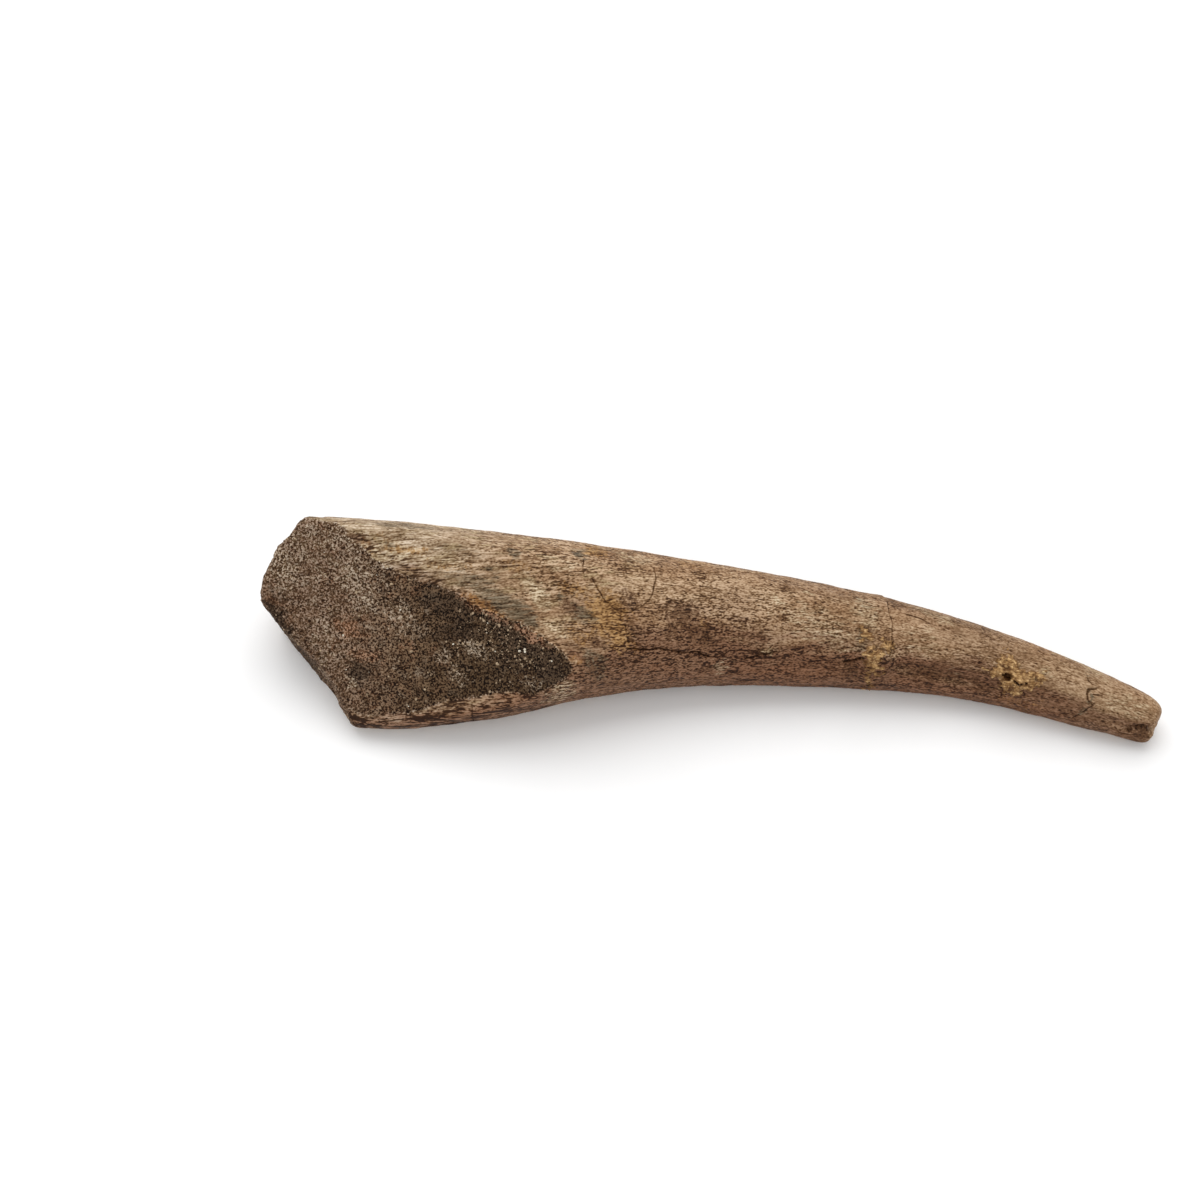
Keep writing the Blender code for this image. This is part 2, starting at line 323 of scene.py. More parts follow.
CREAM = (
    ((-24.7, 2.4, 17.6), 2.8, 1.2, -52, 0.95),
    ((-21.2, -2.0, 15.8), 2.1, 1.0, -20, 0.60),
    ((-32.4, 1.5, 17.6), 4.2, 0.7, -6, 0.45),
    ((1.5, -1.0, 9.3), 1.7, 0.5, 22, 0.40),
    ((14.5, 5.5, 13.0), 9.0, 2.6, -12, 0.42),
    ((-46.0, 4.5, 20.0), 6.0, 1.3, 4, 0.80),
    ((-19.9, -8.5, 9.5), 3.0, 1.2, 10, 0.45),
    ((-46.0, 11.5, 18.0), 6.0, 0.9, 8, 0.75),
    ((30.0, 10.6, 8.5), 4.5, 1.2, -20, 0.55),
    ((50.0, 8.2, 6.5), 6.5, 1.0, -28, 0.60),
    ((7.6, 1.5, 10.5), 0.9, 0.4, 35, 0.70),
    ((8.2, 7.7, 14.2), 1.4, 0.3, -18, 0.80),
    ((11.9, 9.7, 13.7), 1.0, 0.4, -6, 0.70),
    ((20.2, 9.1, 12.4), 2.5, 2.2, -13, 0.50),
    ((58.1, 2.2, 6.6), 4.1, 1.4, -4, 0.45),
    ((20.9, 7.4, 12.2), 2.5, 1.7, -36, 0.45),
    ((28.6, 6.2, 10.4), 3.6, 2.6, -23, 0.30),
    ((-42.4, 10.5, 17.7), 6.6, 0.5, 16, 0.35),
    ((46.2, 4.7, 8.7), 1.3, 0.8, -25, 0.50),
    ((-26.0, 3.6, 18.0), 1.8, 0.9, -30, 0.80),
    ((-22.3, 6.6, 18.7), 3.0, 1.6, -10, 0.50),
    ((-38.0, 4.3, 19.0), 3.5, 0.8, 0, 0.50),
    ((-12.5, 10.5, 16.2), 3.5, 1.6, -10, 0.45),
)
UMBER = (
    ((-4.6, 2.9, 14.9), 2.6, 1.9, 7, 0.95),
    ((-1.8, 1.2, 13.4), 3.0, 1.5, -6, 0.75),
    ((-5.4, 0.7, 13.9), 1.7, 1.3, 14, 0.75),
    ((-11.9, 3.2, 17.0), 1.9, 1.1, -29, 0.80),
    ((-19.7, 0.9, 16.6), 1.7, 0.8, -35, 0.70),
    ((-11.2, -1.0, 15.2), 1.8, 0.9, -64, 0.80),
    ((4.1, 1.6, 11.8), 2.5, 0.4, 12, 0.35),
    ((29.5, 3.1, 6.8), 5.7, 0.5, 3, 0.95),
    ((37.8, 2.7, 5.7), 2.6, 0.6, -8, 0.60),
    ((-15.4, -5.5, 13.1), 1.9, 1.2, -23, 0.85),
    ((60.6, -0.5, 3.2), 1.7, 0.9, 8, 0.95),
    ((21.2, 6.0, 11.8), 0.9, 0.6, -15, 0.90),
    ((24.4, 4.6, 10.6), 0.9, 0.8, -40, 1.00),
    ((24.9, 10.9, 11.0), 2.0, 1.5, -18, 0.40),
    ((19.2, 1.9, 7.5), 1.9, 0.7, -16, 0.55),
    ((-11.5, -0.8, 15.4), 1.7, 0.6, -73, 0.80),
    ((38.2, 8.7, 9.7), 2.5, 1.7, -46, 0.30),
    ((8.3, 4.7, 13.0), 2.1, 0.8, -2, 0.25),
    ((-17.9, -5.4, 13.9), 1.5, 0.9, -20, 0.60),
    ((-15.4, -2.7, 14.9), 1.3, 0.9, -20, 0.50),
    ((-24.6, -3.4, 15.0), 1.5, 0.7, -20, 1.00),
)
RED = (
    ((10.6, 0.2, 7.1), 9.1, 0.5, 8, 0.90),
    ((-5.9, -3.2, 9.6), 7.7, 0.5, 13, 0.55),
    ((29.8, 2.0, 2.8), 9.9, 0.3, 2, 0.70),
    ((45.9, 1.1, 3.7), 6.4, 0.3, -7, 0.80),
    ((-37.4, -12.8, 5.8), 9.7, 0.6, 8, 0.50),
    ((48.2, 2.2, 6.6), 3.8, 0.9, -13, 0.40),
    ((-28.0, -10.3, 9.0), 3.8, 0.6, 8, 0.60),
    ((-18.2, -5.0, 14.1), 1.4, 0.8, -20, 0.70),
)
BROWN = (
    ((-18.6, -4.3, 14.4), 2.6, 1.1, -24, 1.00),
    ((36.0, 9.0, 10.0), 9.0, 4.0, -18, 0.55),
    ((54.0, 7.0, 7.5), 7.0, 3.0, -22, 0.35),
    ((-15.5, -3.6, 14.6), 5.0, 2.3, -18, 1.00),
    ((-17.0, 0.6, 16.2), 5.5, 2.4, -25, 0.75),
    ((2.4, 6.3, 14.9), 3.5, 2.5, -10, 0.45),
)
# Sandstone crust, and the paler and the darker parts of the spongy break.
SANDSTONE = (
    ((22.5, 2.9, 9.2), 1.5, 1.2, -34, 0.95),
    ((20.8, 5.6, 11.3), 1.5, 0.8, -37, 0.75),
    ((24.0, 4.6, 10.4), 1.0, 0.7, -42, 0.80),
    ((22.4, 1.6, 6.8), 1.4, 0.4, 0, 0.45),
    ((41.5, 4.1, 8.4), 2.5, 1.7, -42, 1.00),
    ((39.4, 3.9, 8.3), 1.2, 0.4, -12, 0.95),
    ((44.0, 3.3, 7.7), 1.5, 0.9, -26, 0.80),
    ((45.6, 4.1, 8.3), 1.5, 0.8, -23, 0.55),
    ((40.8, 6.8, 9.5), 0.9, 0.5, -49, 0.55),
)
PALE_BREAK = (
    ((-43.4, -2.4, 13.8), 2.9, 1.9, -23, 0.48),
    ((-32.2, -5.2, 12.7), 2.2, 0.9, -16, 0.60),
    ((-36.8, -6.3, 11.3), 1.5, 0.8, -11, 0.60),
    ((-60.5, 2.2, 15.8), 3.4, 2.4, -56, 0.70),
    ((-49.8, 1.6, 16.4), 3.8, 2.4, -19, 0.60),
    ((-48.7, -0.9, 14.5), 2.8, 1.6, -19, 0.50),
    ((-54.8, 1.4, 15.8), 1.3, 1.2, 0, 0.50),
    ((-50.8, 5.4, 19.4), 1.4, 1.0, -28, 0.70),
    ((-49.0, -9.9, 6.9), 0.9, 0.6, -26, 0.80),
    ((-55.0, 6.0, 18.5), 4.0, 3.0, 20, 0.45),
    ((-34.2, -8.0, 10.2), 2.2, 1.3, -23, 0.30),
    ((-24.0, -8.4, 11.1), 2.8, 1.0, -3, 0.30),
    ((-53.0, -5.5, 9.5), 2.0, 3.5, 40, 0.35),
    ((-59.0, 5.2, 18.4), 2.0, 1.2, -50, 0.50),
)
DARK_BREAK = (
    ((-48.3, -8.8, 8.0), 1.3, 1.9, 0, 0.95),
    ((-60.7, -3.5, 10.6), 2.8, 1.2, -40, 0.95),
    ((-29.8, -2.2, 15.6), 2.8, 0.9, -22, 0.85),
    ((-36.8, -0.6, 15.9), 5.6, 2.0, -14, 0.75),
    ((-34.3, -3.2, 14.1), 2.2, 1.2, -11, 1.00),
    ((-26.0, -3.9, 14.6), 5.4, 1.7, -20, 1.00),
    ((-21.6, -6.6, 12.8), 2.8, 2.0, -21, 0.95),
    ((-34.8, -3.6, 13.7), 5.0, 1.3, 3, 0.65),
    ((-27.1, -6.2, 12.4), 4.0, 1.6, -14, 0.60),
    ((-60.2, -1.0, 13.1), 2.3, 1.3, -14, 0.45),
    ((-46.5, -8.5, 8.4), 1.8, 1.2, -23, 0.55),
    ((-38.7, -10.6, 7.4), 1.6, 1.0, -15, 0.60),
    ((-57.9, -4.4, 4.5), 6.3, 1.0, -37, 0.80),
    ((-40.0, -7.5, 9.8), 3.0, 1.4, 0, 0.35),
)

STAINS = {
    "ochre": OCHRE,
    "rust": RUST,
    "slate": SLATE,
    "cream": CREAM,
    "umber": UMBER,
    "red": RED,
    "pale_break": PALE_BREAK,
    "dark_break": DARK_BREAK,
}

# Where the break is full of pale grit.
GRITTY = (
    ((-32.5, -1.6, 15.4), 3.5, 1.6, -20, 0.55),
    ((-27.5, -4.2, 14.0), 5.5, 2.0, -20, 1.0),
    ((-33.0, -5.0, 12.6), 3.5, 1.0, -10, 0.5),
)

# Where the worn joint end and the tip stand out or fall in: the middle, how far it reaches and how high.
BULGES = (
    ((-58.0, 7.6, 20.0), 3.2, 0.50),
    ((-62.5, -1.2, 12.9), 3.2, 0.42),
    ((-51.0, -11.5, 2.5), 2.5, 0.25),
    ((-52.4, -9.4, 1.0), 3.2, -0.60),
    ((62.3, 0.4, 4.0), 0.9, -0.40),
    ((62.1, 0.0, 2.8), 1.3, 0.30),
)

# Cracks, as points along each. The seam has healed, and the bone on the joint's side of it stands higher.
OPEN_CRACKS = {
    "flank": (
        (-11.2, -2.9, 14.0), (-9.6, -2.5, 13.5), (-7.5, -1.8, 13.2), (-5.5, -1.5, 12.5), (-3.9, -1.2, 11.9),
        (-2.0, -0.8, 11.6), (-0.3, -0.7, 10.7),
    ),
    "flank_step": ((5.0, 0.2, 9.8), (6.8, 0.9, 10.0), (9.0, 1.6, 10.2)),
    "crust_foot": ((18.5, 2.3, 8.3), (19.6, 2.6, 8.4), (20.9, 2.8, 9.3)),
    "tip_upper": ((53.6, 3.7, 7.6), (52.5, 3.3, 7.4), (52.4, 2.7, 7.1), (52.6, 2.2, 6.7)),
    "crust_hole": ((40.5, 3.7, 8.2), (41.2, 3.4, 7.8), (41.6, 3.4, 7.8)),
    "crust_crack": ((42.2, 3.2, 7.8), (43.1, 2.8, 7.5), (43.9, 3.1, 7.8)),
}
CLEFTS = {
    "tip": (
        (58.8, -0.1, 3.8), (59.5, 0.0, 4.2), (60.4, 0.1, 4.6), (61.4, 0.1, 4.5), (62.2, 0.3, 4.0),
        (62.6, 0.8, 3.5), (62.9, 1.4, 3.1), (63.0, 2.1, 2.8),
    ),
    "crust": ((40.9, 3.7, 8.2), (41.4, 3.5, 7.9)),
}
FINE_CRACKS = {
    "seam": (
        (22.9, 12.4, 10.0), (23.3, 11.5, 10.8), (23.5, 10.0, 11.6), (23.8, 8.8, 11.8), (24.4, 7.7, 11.6),
        (24.6, 6.2, 11.1), (24.7, 5.4, 10.8), (24.6, 3.5, 9.9),
    ),
    "arc": (
        (-17.4, 5.2, 18.1), (-16.4, 4.0, 17.6), (-15.5, 2.8, 17.1), (-13.8, 1.7, 16.6), (-12.1, 1.5, 16.4),
        (-10.3, 2.4, 16.4), (-9.0, 4.3, 16.7), (-8.7, 7.0, 17.0), (-9.2, 8.8, 16.8),
    ),
    "spot": ((-19.0, 7.8, 18.2), (-18.9, 6.5, 18.5), (-18.5, 5.4, 18.3)),
    "ochre_foot": ((-12.0, -0.2, 15.6), (-11.7, -1.1, 15.3), (-11.3, -2.3, 14.6)),
    "flank_on": (
        (-0.3, -0.7, 10.7), (1.4, -0.5, 10.2), (2.6, 0.5, 11.1), (4.8, 0.9, 10.7), (6.7, 1.3, 10.6),
    ),
    "scratch_a": ((5.3, -0.1, 9.0), (6.6, 0.6, 9.6), (8.2, 0.9, 9.5), (9.9, 1.4, 9.6)),
    "scratch_b": ((5.6, 1.1, 10.7), (7.6, 1.5, 10.5), (8.3, 2.1, 11.0)),
    "tip_lower": ((52.8, 2.0, 6.6), (53.5, 1.6, 6.2), (52.5, 1.1, 5.3), (51.9, 0.8, 4.8), (51.1, 0.5, 3.9)),
    "tip_side": ((53.3, 2.9, 7.2), (54.5, 2.9, 7.2)),
    "tip_up": ((52.0, 5.8, 8.0), (52.3, 4.6, 7.9), (53.1, 4.2, 7.8)),
    "top": ((25.9, 9.5, 11.5), (27.9, 9.3, 11.2), (29.7, 8.7, 11.0)),
    "below_crust": ((40.9, 2.2, 5.6), (40.7, 1.8, 4.5)),
    "tip_low": ((57.0, 0.0, 3.9), (57.7, -0.4, 3.0), (59.4, -0.5, 2.9)),
    "band_a": ((-40.4, -12.8, 5.5), (-40.3, -13.8, 4.3)),
    "band_b": ((-31.9, -11.4, 7.7), (-31.7, -12.2, 6.9), (-31.8, -12.0, 3.8)),
    "shaft_a": ((-5.1, 9.2, 16.2), (-2.3, 9.5, 15.7), (1.5, 11.2, 14.1), (5.4, 12.3, 12.7)),
    "outline_nick": ((17.6, 12.6, 10.6), (20.7, 12.5, 10.2)),
}


# ---------------------------------------------------------------- the claw's skin

SKIN_GRAIN = 0.325
SKIN_SMOOTHINGS = 5

# How near a crack the skin's faces are halved, and then how near they are halved again.
CRACK_HALVINGS = (0.42, 0.20)

# A crack takes steps this long. Its wander fades from step to step, and more at its ends.
CRACK_STEP = 0.35
WANDER_KEPT = 0.75
WANDER_KEPT_AT_ENDS = 0.3


def mesh_object(name, bm):
    mesh = bpy.data.meshes.new(name)
    bm.to_mesh(mesh)
    bm.free()
    made = bpy.data.objects.new(name, mesh)
    bpy.context.scene.collection.objects.link(made)
    return made


def apply_all(piece):
    graph = bpy.context.evaluated_depsgraph_get()
    made = bpy.data.meshes.new_from_object(piece.evaluated_get(graph))
    piece.modifiers.clear()
    piece.data = made


def even_skin():
    """A fine, even skin over the claw's solid."""
    bm = bmesh.new()
    bm.from_mesh(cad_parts["claw"].data)
    bmesh.ops.remove_doubles(bm, verts=bm.verts, dist=1e-6)
    skin = mesh_object("fossil_claw", bm)
    remesh = skin.modifiers.new("even_skin", "REMESH")
    remesh.mode = "VOXEL"
    remesh.voxel_size = SKIN_GRAIN * MM
    smooth = skin.modifiers.new("smooth", "SMOOTH")
    smooth.iterations = SKIN_SMOOTHINGS
    apply_all(skin)
    return skin


def short_steps(points):
    """The same path in steps of about the crack's step."""
    path = [Vector(p) for p in points]
    walk = []
    for a, b in zip(path, path[1:]):
        steps = max(2, round((b - a).length / CRACK_STEP))
        walk += [a.lerp(b, k / steps) for k in range(steps)]
    return [*walk, path[-1]]


def crack_lines(name, cracks, skin_tree, wobble, seed):
    """Thin wandering lines laid on the skin, one for each crack."""
    chance = random.Random(seed)
    bm = bmesh.new()
    for points in cracks.values():
        walk = short_steps(points)
        drift = Vector((0.0, 0.0, 0.0))
        last = None
        for k, p in enumerate(walk):
            drift = drift * WANDER_KEPT + Vector([chance.uniform(-wobble, wobble) for _ in range(3)])
            if k in (0, len(walk) - 1):
                drift *= WANDER_KEPT_AT_ENDS
            vert = bm.verts.new(skin_tree.find_nearest((p + drift) * MM)[0])
            if last:
                bm.edges.new((last, vert))
            last = vert
    return mesh_object(name, bm)


def flat_outline(name, points):
    """The outline as one flat face on the table."""
    bm = bmesh.new()
    bm.faces.new([bm.verts.new((x * MM, y * MM, 0.0)) for x, y in points])
    bmesh.ops.triangulate(bm, faces=bm.faces)
    return mesh_object(name, bm)


def refine_near(skin, lines, reach):
    """Smaller faces on the skin close to the crack lines, so that a thin crack has a clean edge."""
    points = [v.co.copy() for line in lines for v in line.data.vertices]
    near = KDTree(len(points))
    for k, p in enumerate(points):
        near.insert(p, k)
    near.balance()
    bm = bmesh.new()
    bm.from_mesh(skin.data)
    edges = [e for e in bm.edges if near.find((e.verts[0].co + e.verts[1].co) / 2)[2] < reach * MM]
    bmesh.ops.subdivide_edges(bm, edges=edges, cuts=1, use_grid_fill=True)
    bm.to_mesh(skin.data)
    bm.free()


# ---------------------------------------------------------------- weathering

# A patch is whole out to its core and gone at its edge, as shares of its half-length, and is this deep.
PATCH_CORE = 0.35
PATCH_EDGE = 1.45
PATCH_DEPTH = 6.0

# How far one seed moves every pattern, and the distance from a crack past which nothing differs.
SEED_STEP = (3.17, 1.73, 2.31)
FAR_FROM_CRACK = 3.0

UP = (0.0, 0.0, 1.0)
FOOTWARDS = (0.0, -1.0, 0.0)
BACKWARDS = (0.0, 1.0, 0.0)
OVER_THE_CREST = (0.3, 0.9, 0.3)

Skin = namedtuple("Skin", "position normal at placed run streaky ragged x z")


def skin_places(n, seed):
    """A point of the skin: itself, moved by the seed, along the bent claw, and shaken for ragged patches."""
    position = n.add("GeometryNodeInputPosition")
    normal = n.add("GeometryNodeInputNormal")
    at = n.vector("SCALE", position, scale=TO_MM)
    x, y, z = n.parts(at)
    offset = n.vector("SCALE", SEED_STEP, scale=seed)
    placed = n.vector("ADD", at, offset)
    c0, c1, c2, c3 = BEND
    line = n.plus(n.times(n.plus(n.times(n.plus(n.times(x, c3), c2), x), c1), x), c0)
    along = n.add("ShaderNodeCombineXYZ", {0: x, 1: n.minus(y, line), 2: z})
    run = n.vector("ADD", along, offset)
    streaky = n.stretched(run, 0.22, 1.3)
    ragged = n.vector("ADD", at, n.shake(placed, 0.8, 5.0, 0.65, (3.4, 2.2, 1.2)))
    ragged = n.vector("ADD", ragged, n.shake(streaky, 1.6, 5.0, 0.7, (4.5, 1.3, 0.6)))
    return Skin(position, normal, at, placed, run, streaky, ragged, x, z)


def facing(n, skin, way):
    """How squarely the skin looks this way, from -1 to 1."""
    return n.vector("DOT_PRODUCT", skin.normal, way, out=1)


def patch(n, place, spots):
    """How far a point is inside the nearest of these patches: 1 in the middle of one, 0 outside."""
    total = None
    for middle, long, wide, turn, strength in spots:
        away = n.vector("SUBTRACT", place, middle)
        if turn:
            inputs = {"Vector": away, "Angle": math.radians(-turn)}
            away = n.add("ShaderNodeVectorRotate", inputs, rotation_type="Z_AXIS")
        away = n.vector("MULTIPLY", away, (1 / long, 1 / wide, 1 / PATCH_DEPTH))
        share = n.ramp(n.vector("LENGTH", away, out=1), PATCH_EDGE, PATCH_CORE, 0.0, strength)
        total = share if total is None else n.most(total, share)
    return total


def store(n, geometry, name, value, kind="FLOAT"):
    inputs = {"Geometry": geometry, "Name": name, "Value": value}
    return n.add("GeometryNodeStoreNamedAttribute", inputs, data_type=kind, domain="POINT")


def nearest(n, target, place, element, out):
    shape = n.add("GeometryNodeObjectInfo", {"Object": target}, out="Geometry")
    return n.add("GeometryNodeProximity", {0: shape, 2: place}, out=out, target_element=element)


def distance_to(n, target, place, element="EDGES"):
    """Millimetres from the place to the nearest of the target's edges or faces."""
    return n.times(nearest(n, target, place, element, "Distance"), TO_MM)


def spongy_share(n, skin, outline):
    """Where the spongy inside shows: on the break, inside its outline, and on the worn joint end."""
    shake = n.shake(skin.placed, 0.9, 6.0, 0.75, (2.6 * MM, 1.8 * MM, 0.0))
    flat = n.vector("ADD", n.vector("MULTIPLY", skin.position, (1.0, 1.0, 0.0)), shake)
    inside = n.ramp(distance_to(n, outline, flat, "FACES"), 0.22, 0.0)
    cut = n.most(n.ramp(facing(n, skin, UP), 0.42, 0.60), n.ramp(skin.x, -52.5, -54.0))
    spongy = n.times(n.times(inside, cut), n.ramp(facing(n, skin, OVER_THE_CREST), 0.75, 0.45))
    near_joint = n.ramp(skin.x, -44.0, -46.5)
    for way in JOINT_FACES:
        worn = n.plus(facing(n, skin, way), n.swing(n.noise(skin.placed, 1.1, 5.0, 0.7), 0.35))
        spongy = n.most(spongy, n.times(n.ramp(worn, 0.70, 0.84), near_joint))
    return spongy


def crust_share(n, skin):
    """Where sandstone still clings, in patches with crumbling edges."""
    crumbling = n.swing(n.noise(skin.placed, 2.2, 4.0, 0.7), 0.9)
    return n.ramp(n.plus(patch(n, skin.ragged, SANDSTONE), crumbling), 0.22, 0.55)


def red_foot_and_shade_share(n, skin):
    """The darker foot of the flank, wider by the break and narrower at the tip, with a streaky edge: part
    red-brown stain, part painted shade on the skin that faces the front, away from the light.
    """
    streaks = n.swing(n.noise(skin.streaky, 0.6, 5.0, 0.65), 0.75)
    by_the_break = n.times(n.ramp(skin.x, 8.0, -4.0), n.ramp(skin.x, -17.0, -12.0))
    foot_and_shade = n.plus(n.plus(facing(n, skin, FOOTWARDS), streaks), n.times(by_the_break, 0.22))
    foot_and_shade = n.minus(foot_and_shade, n.ramp(skin.x, 49.0, 57.0, 0.0, 0.14))
    return n.ramp(foot_and_shade, 0.45, 0.82)


def brown_and_back_shade_share(n, skin):
    """Browner bone: its patches, and painted shade on the side that faces back, towards the window light,
    along the middle of the shaft.
    """
    middle = n.times(n.ramp(skin.x, 2.0, 12.0), n.ramp(skin.x, 46.0, 36.0, 0.0, 0.60))
    back = n.times(n.ramp(facing(n, skin, BACKWARDS), -0.05, 0.4), middle)
    return n.most(patch(n, skin.ragged, BROWN), back)


def crack_distances(n, skin, guides):
    """Millimetres to the nearest open crack, cleft and fine crack, wavering so that none has an even edge."""
    waver = n.swing(n.noise(skin.placed, 1.6, 3.0), 0.30)
    open_crack = n.plus(distance_to(n, guides["open_cracks"], skin.position), waver)
    cleft = n.plus(distance_to(n, guides["clefts"], skin.position), waver)
    fine = n.plus(distance_to(n, guides["fine_cracks"], skin.position), n.times(waver, 0.5))
    return open_crack, cleft, fine


def ledge_share(n, skin, seam):
    """The bone's step at the healed seam: high on the joint's side, where it soon falls away again."""
    near = nearest(n, seam, skin.position, "EDGES", "Position")
    apart = n.parts(n.vector("SCALE", n.vector("SUBTRACT", near, skin.position), scale=TO_MM))
    ledge = n.times(n.ramp(apart[0], -0.08, 0.08), n.ramp(apart[0], 3.5, 0.3))
    return n.times(ledge, n.ramp(n.math("ABSOLUTE", apart[1]), 1.2, 0.3))


def cortex_height(n, skin, given, cracks):
    """Fibres and cracks sunk into the dense outer bone."""
    open_crack, cleft, fine = cracks
    dashes = n.ramp(n.drawn(skin.run, 0.7, 1.9, 3.0, 0.6), 0.48, 0.30)
    fibres = n.plus(n.ramp(n.drawn(skin.run, 0.22, 1.7, 5.0, 0.65), 0.60, 0.34), n.times(dashes, 0.8))
    sunk = n.times(n.ramp(open_crack, given["Crack half-width"], 0.0), given["Crack depth"])
    sunk = n.plus(sunk, n.times(n.ramp(cleft, 0.65, 0.0), given["Cleft depth"]))
    fine_width = n.times(given["Crack half-width"], 0.7)
    fine_depth = n.times(given["Crack depth"], 0.35)
    sunk = n.plus(sunk, n.times(n.ramp(fine, fine_width, 0.0), fine_depth))
    return n.minus(n.times(fibres, n.times(given["Fibre depth"], -1.0)), sunk)


def break_height(n, skin, given):
    """Pores of two sizes in the rough spongy break."""
    large = n.ramp(n.cells(skin.placed, 1.15), 0.36, 0.10)
    small = n.ramp(n.cells(skin.placed, 1.9), 0.38, 0.12)
    pores = n.most(large, n.times(small, 0.75))
    rough = n.swing(n.noise(skin.placed, 0.9, 6.0, 0.7), n.times(given["Pore depth"], 2.0))
    return n.minus(rough, n.times(pores, given["Pore depth"]))


def crust_height(n, skin, given, crust):
    """Lumps and crumbs of the sandstone crust."""
    lumps = n.minus(1.0, n.cells(skin.placed, 1.0, feature="SMOOTH_F1"))
    crumbs = n.plus(n.times(lumps, 0.7), n.times(n.noise(skin.placed, 1.3, 6.0, 0.75), 1.3))
    return n.times(n.minus(crumbs, 0.45), n.times(crust, given["Crust height"]))


def weathering(skin_finish, guides, sizes, seed):
    """Fibres, pores, cracks and crust raised on the skin, with a named share of each kept for the finish."""
    n, given, result = geometry_tree("weathered_bone", sizes, seed)
    skin = skin_places(n, given["Seed"])
    spongy = spongy_share(n, skin, guides["break_outline"])
    crust = crust_share(n, skin)
    cracks = crack_distances(n, skin, guides)

    height = n.blend(spongy, cortex_height(n, skin, given, cracks), break_height(n, skin, given))
    height = n.plus(height, n.swing(n.noise(skin.placed, 0.16, 2.0), given["Swell"]))
    height = n.plus(height, crust_height(n, skin, given, crust))
    height = n.plus(height, n.times(ledge_share(n, skin, guides["ledge"]), given["Ledge height"]))
    for middle, reach, rise in BULGES:
        away = n.vector("DISTANCE", skin.at, middle, out=1)
        height = n.plus(height, n.ramp(away, reach, 0.0, 0.0, rise))
    # The lowest skin stays flat on the table.
    height = n.times(height, n.ramp(skin.z, 0.05, 0.9))

    open_crack, cleft, fine = cracks
    shares = {
        "spongy": spongy,
        "sandstone": crust,
        "crack": n.least(n.least(open_crack, n.times(cleft, 0.85)), FAR_FROM_CRACK),
        "fine_crack": n.least(fine, FAR_FROM_CRACK),
        "height": height,
        # Brown patches, and painted shade on the back-facing middle of the shaft.
        "brown": brown_and_back_shade_share(n, skin),
        # Red-brown stain mixed with painted shade on the skin that faces the front.
        "lower_flank": red_foot_and_shade_share(n, skin),
        **{name: patch(n, skin.ragged, spots) for name, spots in STAINS.items()},
    }
    geometry = given["Geometry"]
    for name, value in shares.items():
        geometry = store(n, geometry, name, value)
    geometry = store(n, geometry, "along_claw", skin.run, "FLOAT_VECTOR")
    move = n.vector("SCALE", skin.normal, scale=n.times(height, MM))
    geometry = n.add("GeometryNodeSetPosition", {"Geometry": geometry, "Offset": move})
    end_tree(n, geometry, result, skin_finish)
    return n.tree


# ---------------------------------------------------------------- loose grains

FULL_TURN = 6.283


def scattered_grains(finish, name, where, spots, sizes, seed):
    """Small mineral grains stuck in the surface where the named share is high and inside the spots."""
    n, given, result = geometry_tree(name, sizes, seed)
    share = n.ramp(n.add("GeometryNodeInputNamedAttribute", {"Name": where}, data_type="FLOAT"), 0.45, 0.8)
    at = n.vector("SCALE", n.add("GeometryNodeInputPosition"), scale=TO_MM)
    crowd = n.plus(n.times(patch(n, at, spots), n.minus(1.0, given["Strays"])), given["Strays"])
    points = n.tree.nodes.new("GeometryNodeDistributePointsOnFaces")
    n.put(points.inputs["Mesh"], given["Geometry"])
    n.put(points.inputs["Density"], n.times(n.times(share, crowd), given["Grains per square metre"]))
    n.put(points.inputs["Seed"], given["Seed"])
    grain = n.add("GeometryNodeMeshIcoSphere", {"Radius": 1.0, "Subdivisions": 2})

    def chance(low, high, step, kind="FLOAT", out=1):
        first = 0 if kind == "FLOAT_VECTOR" else 2
        inputs = {first: low, first + 1: high, "Seed": n.plus(given["Seed"], step)}
        return n.add("FunctionNodeRandomValue", inputs, out=out, data_type=kind)

    size = n.blend(n.math("POWER", chance(0.0, 1.0, 1), 3.0), given["Smallest grain"], given["Largest grain"])
    shape = chance((0.7, 0.7, 0.5), (1.3, 1.0, 0.8), 2, "FLOAT_VECTOR", 0)
    turn = chance((0.0, 0.0, 0.0), (FULL_TURN, FULL_TURN, FULL_TURN), 3, "FLOAT_VECTOR", 0)
    inputs = {
        "Points": points.outputs["Points"],
        "Instance": grain,
        "Rotation": turn,
        "Scale": n.vector("SCALE", shape, scale=size),
    }
    placed = n.add("GeometryNodeInstanceOnPoints", inputs)
    inputs = {"Geometry": placed, "Name": "tone", "Value": chance(0.0, 1.0, 4)}
    toned = n.add("GeometryNodeStoreNamedAttribute", inputs, data_type="FLOAT", domain="INSTANCE")
    end_tree(n, toned, result, finish)
    return n.tree


# ---------------------------------------------------------------- finishes


def srgb(r, g, b):
    """A colour given as 0 to 255 on a screen, as the linear numbers that a shader takes."""
    return tuple(c / 255 / 12.92 if c <= 10 else ((c / 255 + 0.055) / 1.055) ** 2.4 for c in (r, g, b))


BONE = srgb(138, 106, 76)
BONE_LIGHT = srgb(156, 127, 97)
BONE_WARM = srgb(136, 103, 74)
BONE_BY_JOINT = srgb(172, 151, 125)
BONE_OLIVE = srgb(136, 114, 80)
# Brown of the patches, also laid as painted shade on the back-facing middle of the shaft.
BONE_BROWN_AND_BACK_SHADE = srgb(122, 92, 66)
